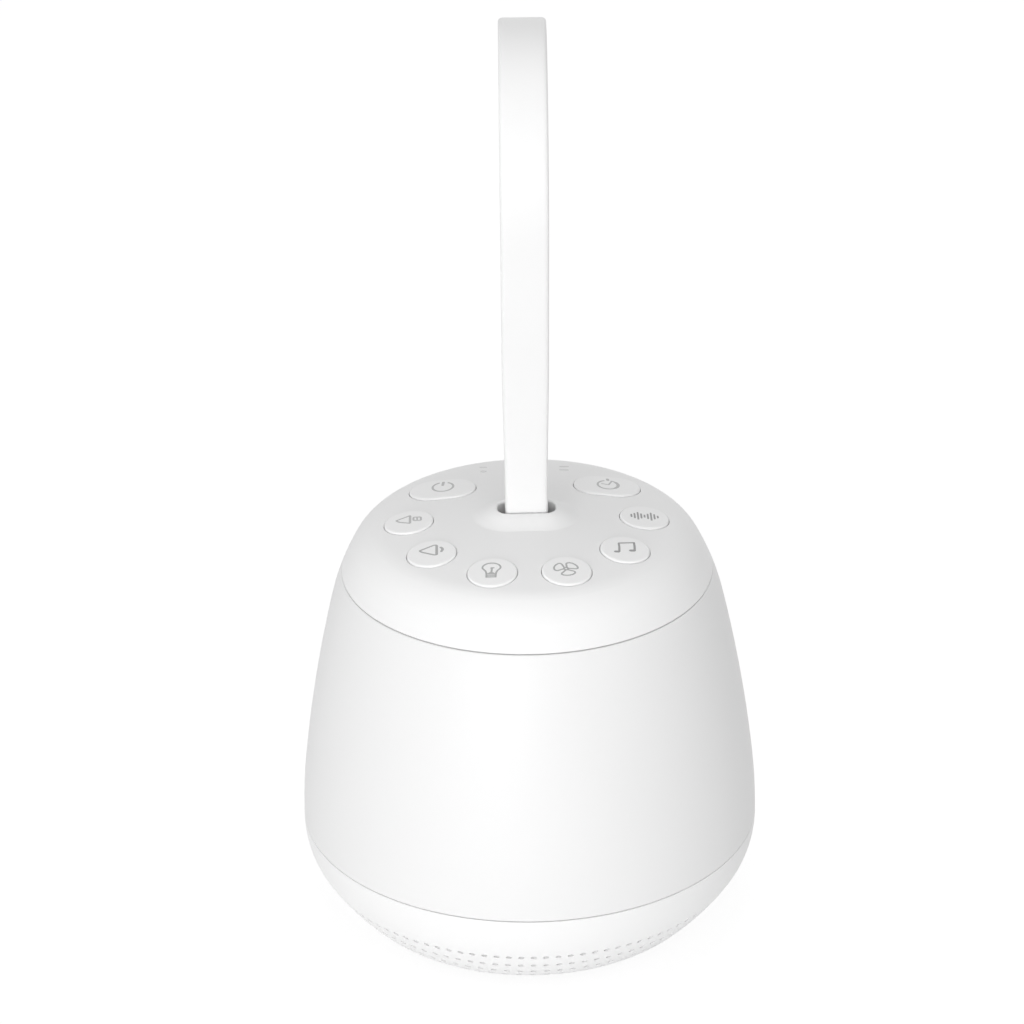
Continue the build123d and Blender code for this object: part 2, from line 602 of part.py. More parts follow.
def speaker_frame():
    """Pressed steel basket: a flange with three ears, a side wall, spokes and the front plate."""
    side_top = FLANGE_TOP_Z + BASKET_SIDE
    inner = BASKET_R - BASKET_THICK
    basket = turned([
        (BASKET_R, FLANGE_LOW_Z), (BASKET_R, side_top), (BASKET_WAIST_R, BASKET_TOP),
        (PLATE_HOLE_R, BASKET_TOP), (PLATE_HOLE_R, BASKET_TOP - 2 * BASKET_THICK),
        (BASKET_WAIST_R - BASKET_THICK, BASKET_TOP - 2 * BASKET_THICK),
        (inner, side_top - BASKET_THICK), (inner, FLANGE_LOW_Z),
    ])
    window = block(BASKET_R, 0, BASKET_R, COLUMN_INNER_R / 2, FLANGE_TOP_Z + SPEAKER_FLANGE, side_top)
    for k in range(BASKET_WINDOWS):
        basket -= Rot(0, 0, 45 + 360 * k / BASKET_WINDOWS) * window
    basket += tube(SPEAKER_FLANGE_R, inner, FLANGE_LOW_Z, FLANGE_TOP_Z)
    for x, y in SPEAKER_EARS:
        basket += post(x, y, SPEAKER_EAR_R, FLANGE_LOW_Z, FLANGE_TOP_Z)
    for x, y in SPEAKER_EARS:
        basket -= post(x, y, SCREW_M2[0] + SCREW_FREE, FLANGE_LOW_Z, FLANGE_TOP_Z)
    return basket


def speaker_gasket():
    ring = tube(SPEAKER_FLANGE_R, COLUMN_INNER_R, FLANGE_TOP_Z, DECK_Z)
    for x, y in SPEAKER_EARS:
        ring += post(x, y, SPEAKER_EAR_R, FLANGE_TOP_Z, DECK_Z)
        ring -= post(x, y, SCREW_M2[0] + SCREW_FREE, FLANGE_TOP_Z, DECK_Z)
    return ring


def speaker_surround():
    """The rubber roll between the cone's edge and the basket."""
    inner, outer = CONE_EDGE_R + SURROUND_GAP, BASKET_R - BASKET_THICK
    middle, roll = (inner + outer) / 2, (outer - inner) / 2
    with BuildSketch(Plane.XZ) as sketch:
        with Locations((middle, FLANGE_LOW_Z + roll + SURROUND_THICK)):
            Circle(roll)
            Circle(roll - SURROUND_THICK, mode=Mode.SUBTRACT)
        with Locations((middle, FLANGE_LOW_Z + 2 * roll + SURROUND_THICK)):
            Rectangle(2 * roll, 2 * roll, mode=Mode.SUBTRACT)
    return revolve(sketch.sketch, Axis.Z)


def speaker_magnet():
    return tube(MAGNET_R, PLATE_HOLE_R + COIL_GAP, BASKET_TOP, BASKET_TOP + MAGNET_HEIGHT)


def speaker_yoke():
    back = BASKET_TOP + MAGNET_HEIGHT
    pole_r = COIL_R - COIL_THICK / 2 - COIL_GAP
    pole = post(0, 0, pole_r, BASKET_TOP - 2 * BASKET_THICK, back)
    return pole + post(0, 0, MAGNET_R, back, back + YOKE_THICK)


def speaker_cone():
    """Paper cone that opens downwards, closed by its dust cap."""
    neck_z = BASKET_TOP - 2 * BASKET_THICK - CONE_TRAVEL - CONE_THICK
    edge_z = FLANGE_LOW_Z + CONE_TRAVEL + CONE_THICK
    neck_r = COIL_R + COIL_THICK / 2
    return turned([
        (0, neck_z - CONE_THICK), (neck_r, neck_z - 2 * CONE_THICK), (CONE_EDGE_R, edge_z),
        (CONE_EDGE_R, edge_z + CONE_THICK), (neck_r, neck_z), (0, neck_z),
    ])


def voice_coil():
    """Copper winding on its former, from the cone's neck into the gap round the pole."""
    low = BASKET_TOP - 2 * BASKET_THICK - CONE_TRAVEL - CONE_THICK
    return tube(COIL_R + COIL_THICK / 2, COIL_R - COIL_THICK / 2, low, BASKET_TOP + CONE_TRAVEL)


def speaker_screws():
    tip = DECK_Z + SPEAKER_SCREW_GRIP
    return group(screw(x, y, SCREW_M2, FLANGE_LOW_Z, tip) for x, y in SPEAKER_EARS)


# ---- Light -------------------------------------------------------------------------------------
def chip_box(angle, grow, low, high):
    width, depth = LIGHT_CHIP[0] + 2 * grow, LIGHT_CHIP[1] + 2 * grow
    return Rot(0, 0, angle) * block(LIGHT_CHIP_RING, 0, width, depth, low, high)


def chip_angles():
    return [360 * (k + 0.5) / LIGHT_CHIPS for k in range(LIGHT_CHIPS)]


def light_board():
    board = tube(LIGHT_BOARD_R, LIGHT_INNER_R, LIGHT_BOARD_Z, LIGHT_BOARD_TOP)
    for x, y in LIGHT_POSTS:
        board -= post(x, y, SCREW_M2[0] + SCREW_FREE, LIGHT_BOARD_Z, LIGHT_BOARD_TOP)
    return board


def light_chips():
    top = LIGHT_BOARD_TOP + LIGHT_CHIP[2]
    return group(chip_box(angle, 0, LIGHT_BOARD_TOP, top) for angle in chip_angles())


def light_reflector():
    ring = tube(LIP_INNER_LOW - REFLECTOR_CLEAR, LIGHT_INNER_R, LIGHT_BOARD_TOP, REFLECTOR_TOP)
    for angle in chip_angles():
        ring -= chip_box(angle, REFLECTOR_WINDOW_GAP, LIGHT_BOARD_TOP, REFLECTOR_TOP)
    for x, y in LIGHT_POSTS:
        ring -= post(x, y, SCREW_M2[0] + SCREW_FREE, LIGHT_BOARD_TOP, REFLECTOR_TOP)
    return ring


def light_screws():
    tip = LIGHT_BOARD_Z - LIGHT_SCREW_GRIP
    return group(screw(x, y, SCREW_M2, REFLECTOR_TOP, tip) for x, y in LIGHT_POSTS)


# ---- Battery -----------------------------------------------------------------------------------
def battery_cell():
    cell = block(0, 0, CELL[0], CELL[1], CELL_Z, CELL_Z + CELL[2])
    return fillet(cell.edges().filter_by(Axis.Z), CELL_ROUND)


def battery_pads():
    middle = CELL_Z + POCKET_HEIGHT / 2
    low, high = middle - CELL_PAD[2] / 2, middle + CELL_PAD[2] / 2
    offset = (CELL[1] + CELL_PAD[1]) / 2
    return group(block(0, side * offset, CELL_PAD[0], CELL_PAD[1], low, high) for side in (-1, 1))


# ---- Main board --------------------------------------------------------------------------------
def main_board():
    reach = outer_r(MAIN_BOARD_Z, BASE_WALL) - MAIN_BOARD_CLEAR
    strip = block(0, MAIN_BOARD_FRONT + reach / 2, MAIN_BOARD_WIDTH, reach, MAIN_BOARD_Z, MAIN_BOARD_TOP)
    board = strip & post(0, 0, reach, MAIN_BOARD_Z, MAIN_BOARD_TOP)
    notch = USB_OUTER[0] + 2 * USB_NOTCH_CLEAR
    depth = USB_LENGTH + USB_NOTCH_CLEAR
    board -= block(0, USB_MOUTH_Y - depth / 2, notch, depth, MAIN_BOARD_Z, MAIN_BOARD_TOP)
    for x, y in MAIN_SCREWS:
        board -= post(x, y, SCREW_M2[0] + SCREW_FREE, MAIN_BOARD_Z, MAIN_BOARD_TOP)
    return board


def board_chips():
    front, low = MAIN_BOARD_FRONT, MAIN_BOARD_TOP
    return group(block(x, front + back, w, d, low, low + h) for x, back, w, d, h in CHIPS)


def lead_sockets():
    width, depth, height = LEAD_SOCKET
    y = LEAD_SOCKET_Y + depth / 2
    top = MAIN_BOARD_TOP + height
    return group(block(x, y, width, depth, MAIN_BOARD_TOP, top) for x in (-LEAD_X, 0, LEAD_X))


def light_header():
    x, back = LIGHT_HEADER_PLACE
    return block(x, MAIN_BOARD_FRONT + back, *LIGHT_HEADER, MAIN_BOARD_TOP, LIGHT_BOARD_Z)


def main_screws():
    tip = MAIN_BOARD_Z - MAIN_SCREW_GRIP
    return group(screw(x, y, SCREW_M2, MAIN_BOARD_TOP, tip) for x, y in MAIN_SCREWS)


def usb_socket():
    """The charging socket's metal shell, open at its mouth and closed behind."""
    back = Pos(0, USB_MOUTH_Y - USB_LENGTH, USB_Z) * Rot(-90, 0, 0)
    shell = back * extrude(SlotOverall(*USB_OUTER), USB_LENGTH)
    room = SlotOverall(USB_OUTER[0] - 2 * USB_WALL, USB_OUTER[1] - 2 * USB_WALL)
    return shell - back * Pos(0, 0, USB_WALL) * extrude(room, USB_LENGTH)


def usb_tongue():
    width, thick, length = USB_TONGUE
    start = USB_MOUTH_Y - USB_LENGTH + USB_WALL
    return block(0, start + length / 2, width, length, USB_Z - thick / 2, USB_Z + thick / 2)


# ---- Leads -------------------------------------------------------------------------------------
def lead(points, radius):
    """A round lead along straight runs joined by tangent bends."""
    path = FilletPolyline(*points, radius=LEAD_BEND) if len(points) > 2 else Line(*points)
    start = Plane(origin=path @ 0, z_dir=path % 0)
    return sweep(start * Circle(radius), path=path)


def battery_lead():
    top = CELL_Z + CELL[2] + LEAD_R + LEAD_SEAT_GAP
    points = [(LEAD_X, 0, top), (LEAD_X, LEAD_Y, top), (LEAD_X, LEAD_Y, LEAD_Z)]
    return lead(points + [(LEAD_X, LEAD_SOCKET_Y, LEAD_Z)], LEAD_R)


def button_lead():
    points = [(-LEAD_X, LEAD_Y, BUTTON_BOARD_Z), (-LEAD_X, LEAD_Y, LEAD_Z)]
    return lead(points + [(-LEAD_X, LEAD_SOCKET_Y, LEAD_Z)], LEAD_R)


def speaker_lead():
    z = BASKET_TOP + SPEAKER_LEAD_R
    return lead([(0, MAGNET_R, z), (0, LEAD_SOCKET_Y, z)], SPEAKER_LEAD_R)


# ---- Button board ------------------------------------------------------------------------------
def button_board():
    board = tube(BUTTON_BOARD_R, BUTTON_BOARD_INNER_R, BUTTON_BOARD_Z, BUTTON_BOARD_TOP)
    for x, y in BUTTON_SCREWS:
        board -= post(x, y, SCREW_M2[0] + SCREW_FREE, BUTTON_BOARD_Z, BUTTON_BOARD_TOP)
    return board


def cap_reflector():
    ring = tube(BUTTON_BOARD_R, LIGHT_INNER_R, BUTTON_HEAD_Z, BUTTON_BOARD_Z)
    for x, y in BUTTON_SCREWS:
        ring -= post(x, y, SCREW_M2[0] + SCREW_FREE, BUTTON_HEAD_Z, BUTTON_BOARD_Z)
    return ring


def button_screws():
    tip = BUTTON_BOARD_TOP + BUTTON_SCREW_GRIP
    return group(screw(x, y, SCREW_M2, BUTTON_HEAD_Z, tip) for x, y in BUTTON_SCREWS)


def key_switches():
    """One tact switch under each button, its bore open at the top for the plunger."""
    floor_z = PLUNGER_LOW - BUTTON_TRAVEL - PLUNGER_END_GAP
    switches = []
    for x, y, _ in BUTTONS.values():
        housing = block(x, y, SWITCH_SIZE, SWITCH_SIZE, BUTTON_BOARD_TOP, SWITCH_TOP)
        bore = post(x, y, PLUNGER_R + PLUNGER_CLEAR, floor_z, SWITCH_TOP)
        switches.append(housing - bore)
    return group(switches)


def plunger(name):
    x, y, _ = BUTTONS[name]
    return post(x, y, PLUNGER_R, PLUNGER_LOW, PLUNGER_TOP)


def button(name):
    """A key whose top follows the crown, with a flange under the cap and a stem to its switch."""
    place = BUTTONS[name]
    crown = outline_arcs(-BUTTON_PROUD)[-1]
    key = button_prism(place, 0, FLANGE_Z, FAR) & Pos(0, 0, crown[1]) * Sphere(crown[2])
    rim = key.faces().sort_by(Axis.Z)[-1].edges()
    key = fillet(rim, BUTTON_ROUND)
    grow = BUTTON_GAP + FLANGE_WIDTH
    key += button_prism(place, grow, FLANGE_Z, FAR) & body(CAP_WALL + FLANGE_GAP)
    return key + post(place[0], place[1], STEM_R, PLUNGER_TOP, FLANGE_Z)


# ---- Indicators --------------------------------------------------------------------------------
def pipe_prism(side, grow, low, high):
    """The left indicator is a round dot and the right one a short dash."""
    x, y = side * PIPE_PLACE[0], PIPE_PLACE[1]
    if side < 0:
        return post(x, y, PIPE_D / 2 + grow, low, high)
    dash = SlotOverall(PIPE_DASH[0] + 2 * grow, PIPE_DASH[1] + 2 * grow)
    return Pos(x, y, low) * extrude(dash, high - low)


def indicator_pipes():
    """Clear light pipes, flush with the crown, each with a step that seats under the cap."""
    low = BUTTON_BOARD_TOP + PIPE_LED[2] + PIPE_LED_GAP
    pipes = []
    for side in (-1, 1):
        stem = pipe_prism(side, 0, low, FAR) & body()
        step = pipe_prism(side, PIPE_FLANGE, low, FAR) & body(CAP_WALL + PIPE_CLEAR)
        pipes.append(stem + step)
    return group(pipes)


def indicator_leds():
    width, depth, height = PIPE_LED
    top = BUTTON_BOARD_TOP + height
    x, y = PIPE_PLACE
    return group(block(side * x, y, width, depth, BUTTON_BOARD_TOP, top) for side in (-1, 1))


# ---- Strap -------------------------------------------------------------------------------------
def loop_shape():
    """The strap's centre line: the flare arc's angle and radius, the top circle's radius and height."""
    top_r = (LOOP_WIDTH - STRAP_THICK) / 2
    rise = OVERALL_HEIGHT - STRAP_THICK / 2 - top_r - FOLD_Z
    low, high = 0.0, math.pi / 2
    while high - low > 1e-12:
        flare = (low + high) / 2
        leg_x = LEG_SPACING / 2 + FLARE_HEIGHT * math.tan(flare / 2)
        # distance of the top circle's centre from the leg's straight run, drawn at this angle
        reach = (rise - FLARE_HEIGHT) * math.sin(flare) + leg_x * math.cos(flare)
        low, high = (flare, high) if reach < top_r else (low, flare)
    return flare, FLARE_HEIGHT / math.sin(flare), top_r, FOLD_Z + rise


def loop_side(offset, start):
    """Right half of the loop's outline, offset outwards: bottom, flare and top tangent points."""
    flare, flare_r, top_r, top_z = loop_shape()
    centre = LEG_SPACING / 2 + flare_r
    radius = flare_r - offset

    def flare_point(angle):
        return (centre - radius * math.cos(angle), FOLD_Z + radius * math.sin(angle))

    tangent = ((top_r + offset) * math.cos(flare), top_z - (top_r + offset) * math.sin(flare))
    return flare_point(start), flare_point((start + flare) / 2), flare_point(flare), tangent


def loop_outline(offset, foot_angle, bottom):
    """The closed outline in the YZ plane; bottom is the lowest point, between the legs."""
    top = (0, loop_shape()[3] + loop_shape()[2] + offset)
    foot, middle, knee, tangent = loop_side(offset, foot_angle)

    def left(point):
        return (-point[0], point[1])

    with BuildSketch(Plane.YZ) as sketch:
        with BuildLine():
            ThreePointArc(left(foot), bottom, foot)
            ThreePointArc(foot, middle, knee)
            Line(knee, tangent)
            ThreePointArc(tangent, top, left(tangent))
            Line(left(tangent), left(knee))
            ThreePointArc(left(knee), left(middle), left(foot))
        make_face()
    return sketch.sketch


def handle_strap():
    """The silicone loop above its fold line; its rounded root turns about the fold axis."""
    half = STRAP_THICK / 2
    outer = loop_outline(half, 0.0, (0, FOLD_Z - STRAP_HALF))
    crotch = math.asin(CROTCH_HEIGHT / (loop_shape()[1] + half))
    inner_foot = loop_side(-half, crotch)[0]
    inner = loop_outline(-half, crotch, (0, inner_foot[1] - inner_foot[0]))
    band = extrude(outer - inner, STRAP_WIDTH / 2, both=True)
    rims = [e for e in band.edges() if abs(abs(e.center().X) - STRAP_WIDTH / 2) < 0.01]
    return fillet(rims, STRAP_ROUND)


def strap_anchor():
    """The strap's two ends below the fold line, joined round the pin inside the cap."""
    top = COLLAR_Z - ANCHOR_BELOW_COLLAR
    section = RectangleRounded(STRAP_WIDTH, 2 * STRAP_HALF, STRAP_ROUND)
    ends = Pos(0, 0, PIN_Z) * extrude(section, top - PIN_Z)
    ends += Pos(0, 0, PIN_Z) * Rot(0, 90, 0) * Cylinder(STRAP_HALF, STRAP_WIDTH)
    ends -= Pos(0, 0, FOLD_Z) * Rot(0, 90, 0) * Cylinder(STRAP_HALF + FOLD_CLEAR, FAR)
    return ends - Pos(0, 0, PIN_Z) * Rot(0, 90, 0) * Cylinder(PIN_R + PIN_FIT, FAR)


def strap_pin():
    return Pos(0, 0, PIN_Z) * Rot(0, 90, 0) * Cylinder(PIN_R, 2 * PIN_HALF)


# ---- Write every part --------------------------------------------------------------------------
PARTS = {
    "top_cap": top_cap,
    "lantern_shell": lantern_shell,
    "base_shell": base_shell,
    "foot_ring": foot_ring,
    "core_frame": core_frame,
    "base_screws": base_screws,
    "core_screws": core_screws,
    "speaker_frame": speaker_frame,
    "speaker_gasket": speaker_gasket,
    "speaker_surround": speaker_surround,
    "speaker_magnet": speaker_magnet,
    "speaker_yoke": speaker_yoke,
    "speaker_cone": speaker_cone,
    "voice_coil": voice_coil,
    "speaker_screws": speaker_screws,
    "light_board": light_board,
    "light_chips": light_chips,
    "light_reflector": light_reflector,
    "light_screws": light_screws,
    "battery_cell": battery_cell,
    "battery_pads": battery_pads,
    "battery_lead": battery_lead,
    "button_lead": button_lead,
    "speaker_lead": speaker_lead,
    "main_board": main_board,
    "board_chips": board_chips,
    "lead_sockets": lead_sockets,
    "light_header": light_header,
    "main_screws": main_screws,
    "usb_socket": usb_socket,
    "usb_tongue": usb_tongue,
    "button_board": button_board,
    "cap_reflector": cap_reflector,
    "button_screws": button_screws,
    "key_switches": key_switches,
    "indicator_pipes": indicator_pipes,
    "indicator_leds": indicator_leds,
    "handle_strap": handle_strap,
    "strap_anchor": strap_anchor,
    "strap_pin": strap_pin,
}

for node, make in PARTS.items():
    export_step(make(), f"parts/{node}.step")
for name in BUTTONS:
    export_step(button(name), f"parts/{name}_button.step")
    export_step(plunger(name), f"parts/{name}_plunger.step")
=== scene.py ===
"""Looks of the white noise sound machine: camera, light, finishes, printed icons and the strap."""
import json
import math

import bmesh
import bpy
from mathutils import Matrix, Vector


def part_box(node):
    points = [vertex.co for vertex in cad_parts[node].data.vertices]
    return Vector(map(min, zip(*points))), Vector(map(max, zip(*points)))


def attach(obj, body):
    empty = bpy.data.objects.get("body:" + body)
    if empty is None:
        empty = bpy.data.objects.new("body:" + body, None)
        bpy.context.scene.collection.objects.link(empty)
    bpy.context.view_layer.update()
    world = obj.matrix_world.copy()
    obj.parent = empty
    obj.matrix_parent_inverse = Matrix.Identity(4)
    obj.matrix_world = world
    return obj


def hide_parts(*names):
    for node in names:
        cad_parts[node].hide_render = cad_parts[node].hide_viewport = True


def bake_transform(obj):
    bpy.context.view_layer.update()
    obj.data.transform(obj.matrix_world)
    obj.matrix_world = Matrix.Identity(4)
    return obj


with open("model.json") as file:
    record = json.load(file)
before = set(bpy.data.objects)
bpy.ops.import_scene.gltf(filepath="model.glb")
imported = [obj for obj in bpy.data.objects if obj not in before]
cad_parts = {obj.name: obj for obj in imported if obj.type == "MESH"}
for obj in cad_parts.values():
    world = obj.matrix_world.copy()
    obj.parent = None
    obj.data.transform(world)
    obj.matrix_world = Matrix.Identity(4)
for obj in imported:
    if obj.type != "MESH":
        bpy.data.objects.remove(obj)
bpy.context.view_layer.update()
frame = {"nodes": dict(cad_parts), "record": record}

MM = 0.001

# ---- Camera: place, lens and sensor in millimetres, angles in degrees --------------------------------
CAMERA_PLACE = (-17.28, -828.47, 511.08)
CAMERA_DOWN = 26.605
CAMERA_TURN = 0.980
CAMERA_ROLL = -0.733
CAMERA_LENS = 151.8
CAMERA_SENSOR = 36.0
# the nearest and the farthest distance that it sees
CAMERA_REACH = (50.0, 20000.0)

# ---- Light and floor, in metres ----------------------------------------------------------------------
AMBIENT = 0.57
LAMP_SIZE = 0.6
LAMP_DISTANCE = 1.3
LAMP_AIM = (0, 0, 0.06)
# azimuth (0 is the front, negative is the left), elevation and power of each soft lamp
LAMPS = {
    "key": (-15.0, 0.0, 12.1),
    "top": (-15.0, 85.0, 2.8),
}
FLOOR_SIZE = 8.0
FLOOR_WHITE = 0.93
# how bright the camera sees the floor, and the share of its own shading, with the shadow, that stays
FLOOR_GLOW = 1.1
FLOOR_SHADE = 0.2
WHITE = (1, 1, 1, 1)

# ---- Crown of the cap and its keys, in millimetres as in the CAD model -------------------------------
CROWN_TOP = 95.48
CROWN_RADIUS = 209.46
KEY_PROUD = 0.35
BUTTON_RING = 25.3
OVAL_PLACE = (17.9, 15.3)
WINDOW_PLACE = (8.87, 24.6)

# ---- Printed ink, in millimetres: the icons sit a little behind the middle of their keys -------------
LINE = 0.39
INK_THICK = 0.012
INK_SUNK = 0.05
ICON_SHIFT = 0.45

# ---- Strap, in millimetres: the CAD model's sizes, but with a loop that is wider than its foot --------
STRAP_WIDTH = 9.9
STRAP_FOOT_WIDTH = 9.1
STRAP_TAPER_TOP = 135.0
STRAP_THICK = 2.5
STRAP_ROUND = 0.9
LEG_SPACING = 3.0
LOOP_WIDTH = 53.5
FLARE_HEIGHT = 40.2
CROTCH_HEIGHT = 1.6
PIN_HOLE_R = 1.3
# the loop stands turned by an angle in degrees and leans by a share of its height, both from its foot up
STRAP_TWIST = 0.95
STRAP_LEAN = 0.002
TWIST_RISE = 25.0
# steps along half of the loop's top, its straight run, its flare and the eye round the pin
TOP_STEPS = 48
RUN_STEPS = 12
FLARE_STEPS = 56
EYE_STEPS = 8
# the distance between stations down to the pin, and between points that are joined
NECK_STEP = 0.5
WELD = 0.001
# how closely the flare's angle is found, in radians
TOLERANCE = 1e-12
# the angles of the points on a rounded edge
EDGE_ANGLES = (0, 22.5, 45, 67.5, 90)
# the most that an edge's rounding and a face's reach may be, as shares of the round end's half depth
EYE_ROUND = 0.4
EYE_REACH = 0.9


# ---- Small helpers -----------------------------------------------------------------------------------
def new_object(name, mesh):
    obj = bpy.data.objects.new(name, mesh)
    bpy.context.scene.collection.objects.link(obj)
    return obj


def mesh_object(name, verts, faces, smooth=True):
    mesh = bpy.data.meshes.new(name)
    mesh.from_pydata([Vector(v) * MM for v in verts], [], faces)
    mesh.validate()
    if smooth:
        mesh.shade_smooth()
    return new_object(name, mesh)


def face_outwards(mesh, weld=0.0):
    """Turns all faces outwards, after joining points that lie closer than the weld."""
    bm = bmesh.new()
    bm.from_mesh(mesh)
    if weld:
        bmesh.ops.remove_doubles(bm, verts=bm.verts, dist=weld * MM)
    bmesh.ops.recalc_face_normals(bm, faces=bm.faces)
    bm.to_mesh(mesh)
    bm.free()


def crown_z(x, y):
    """Height of the crown's sphere over a point, in millimetres."""
    return CROWN_TOP - CROWN_RADIUS + math.sqrt(CROWN_RADIUS**2 - x * x - y * y)


# ---- Materials ---------------------------------------------------------------------------------------
# most of a noise texture's values lie between these two
NOISE_SPAN = (0.3, 0.7)
# the scale and the size of the drift in colour and roughness over a piece, and of bare metal's grain
DRIFT_SCALE = 35.0
COLOUR_DRIFT = 0.008
ROUGHNESS_DRIFT = 0.02
METAL_SCALE = 900.0
METAL_DRIFT = 0.06


def material(name, colour, roughness, metallic=0.0):
    """A Principled material: its plain numbers sit on the shader's own sockets."""
    mat = bpy.data.materials.new(name)
    mat.use_nodes = True
    shader = mat.node_tree.nodes["Principled BSDF"]
    shader.inputs["Base Color"].default_value = (*colour, 1)
    shader.inputs["Roughness"].default_value = roughness
    shader.inputs["Metallic"].default_value = metallic
    return mat


def noise(mat, scale, detail=2.0):
    """A noise over the object's own coordinates."""
    nodes, links = mat.node_tree.nodes, mat.node_tree.links
    coords = nodes.new("ShaderNodeTexCoord")
    texture = nodes.new("ShaderNodeTexNoise")
    texture.inputs["Scale"].default_value = scale
    texture.inputs["Detail"].default_value = detail
    links.new(coords.outputs["Object"], texture.inputs["Vector"])
    return texture.outputs["Fac"]


def vary(mat, socket, source, low, high):
    """Feeds a socket from a noise, spread between two values."""
    nodes, links = mat.node_tree.nodes, mat.node_tree.links
    spread = nodes.new("ShaderNodeMapRange")
    spread.inputs["From Min"].default_value = NOISE_SPAN[0]
    spread.inputs["From Max"].default_value = NOISE_SPAN[1]
    spread.inputs["To Min"].default_value = low
    spread.inputs["To Max"].default_value = high
    links.new(source, spread.inputs["Value"])
    links.new(spread.outputs["Result"], nodes["Principled BSDF"].inputs[socket])


def vary_colour(mat, source, first, second):
    """Feeds the base colour from a noise, blended between two colours."""
    nodes, links = mat.node_tree.nodes, mat.node_tree.links
    blend = nodes.new("ShaderNodeMix")
    blend.data_type = "RGBA"
    blend.inputs["A"].default_value = (*first, 1)
    blend.inputs["B"].default_value = (*second, 1)
    links.new(source, blend.inputs["Factor"])
    links.new(blend.outputs["Result"], nodes["Principled BSDF"].inputs["Base Color"])


def bump(mat, source, depth):
    """A relief from a noise, of a depth in metres."""
    nodes, links = mat.node_tree.nodes, mat.node_tree.links
    relief = nodes.new("ShaderNodeBump")
    relief.inputs["Strength"].default_value = 1.0
    relief.inputs["Distance"].default_value = depth
    links.new(source, relief.inputs["Height"])
    links.new(relief.outputs["Normal"], nodes["Principled BSDF"].inputs["Normal"])


def moulded(name, colour, roughness, grain=4500.0, depth=0.000004):
    """A satin finish other than metal: a fine grain, and faint drift in colour and roughness."""
    mat = material(name, colour, roughness)
    drift = noise(mat, DRIFT_SCALE, detail=1.0)
    darker = [c * (1 - COLOUR_DRIFT) for c in colour]
    lighter = [min(1.0, c * (1 + COLOUR_DRIFT)) for c in colour]
    vary_colour(mat, drift, darker, lighter)
    vary(mat, "Roughness", drift, roughness - ROUGHNESS_DRIFT, roughness + ROUGHNESS_DRIFT)
    bump(mat, noise(mat, grain, detail=3.0), depth)
    return mat


def metal(name, colour, roughness):
    """Bare metal with a roughness that changes finely."""
    mat = material(name, colour, roughness, metallic=1.0)
    vary(mat, "Roughness", noise(mat, METAL_SCALE), roughness - METAL_DRIFT, roughness + METAL_DRIFT)
    return mat


MATERIALS = {
    "cap_plastic": moulded("cap_plastic", (0.915, 0.915, 0.915), 0.5),
    "lantern_plastic": moulded("lantern_plastic", (0.86, 0.86, 0.86), 0.5),
    "base_plastic": moulded("base_plastic", (0.91, 0.91, 0.91), 0.5),
    "key_plastic": moulded("key_plastic", (0.95, 0.95, 0.95), 0.45),
    "inner_plastic": moulded("inner_plastic", (0.8, 0.8, 0.79), 0.5),
    "strap_silicone": moulded("strap_silicone", (0.895, 0.895, 0.895), 0.55, grain=2500.0),
    "foot_rubber": moulded("foot_rubber", (0.5, 0.5, 0.5), 0.7),
    "foam": moulded("foam", (0.03, 0.03, 0.03), 0.9, grain=1500.0, depth=0.0001),
    "steel": metal("steel", (0.62, 0.62, 0.64), 0.35),
    "magnet": moulded("magnet", (0.06, 0.06, 0.065), 0.6),
    "paper": moulded("paper", (0.03, 0.03, 0.035), 0.85, grain=1200.0, depth=0.00003),
    "copper": metal("copper", (0.75, 0.38, 0.22), 0.3),
    "board": moulded("board", (0.01, 0.07, 0.03), 0.3),
    "white_board": moulded("white_board", (0.8, 0.8, 0.78), 0.3),
    "chip": moulded("chip", (0.02, 0.02, 0.02), 0.45),
    "led": moulded("led", (0.85, 0.75, 0.35), 0.4),
    "switch": moulded("switch", (0.02, 0.02, 0.02), 0.5),
    "plunger": moulded("plunger", (0.6, 0.6, 0.58), 0.5),
    "connector": moulded("connector", (0.75, 0.7, 0.58), 0.45),
    "cell_wrap": moulded("cell_wrap", (0.55, 0.56, 0.58), 0.35),
    "lead_jacket": moulded("lead_jacket", (0.03, 0.03, 0.03), 0.6),
    "pipe": moulded("pipe", (0.78, 0.78, 0.78), 0.25),
    "ink": moulded("ink", (0.46, 0.46, 0.46), 0.6),
    "ink_dark": moulded("ink_dark", (0.36, 0.36, 0.36), 0.6),
    "ink_soft": moulded("ink_soft", (0.56, 0.56, 0.56), 0.6),
    "ink_faint": moulded("ink_faint", (0.73, 0.73, 0.73), 0.6),
}
for row in frame["record"]["subparts"]:
    node = frame["nodes"][row["node"]]
    node.data.materials.clear()
    node.data.materials.append(MATERIALS[row["material_slot"]])


# ---- Printed lines -----------------------------------------------------------------------------------
# the cosine past which a sharp corner widens its line no more, and the angles of a round end's sections
CORNER_LIMIT = 0.35
END_ANGLES = (80, 55, 30)


def arc(centre, radius, start, end, steps=24):
    """Points along an arc, angles in degrees counted from +x."""
    angles = [math.radians(start + (end - start) * k / steps) for k in range(steps + 1)]
    return [(centre[0] + radius * math.cos(a), centre[1] + radius * math.sin(a)) for a in angles]


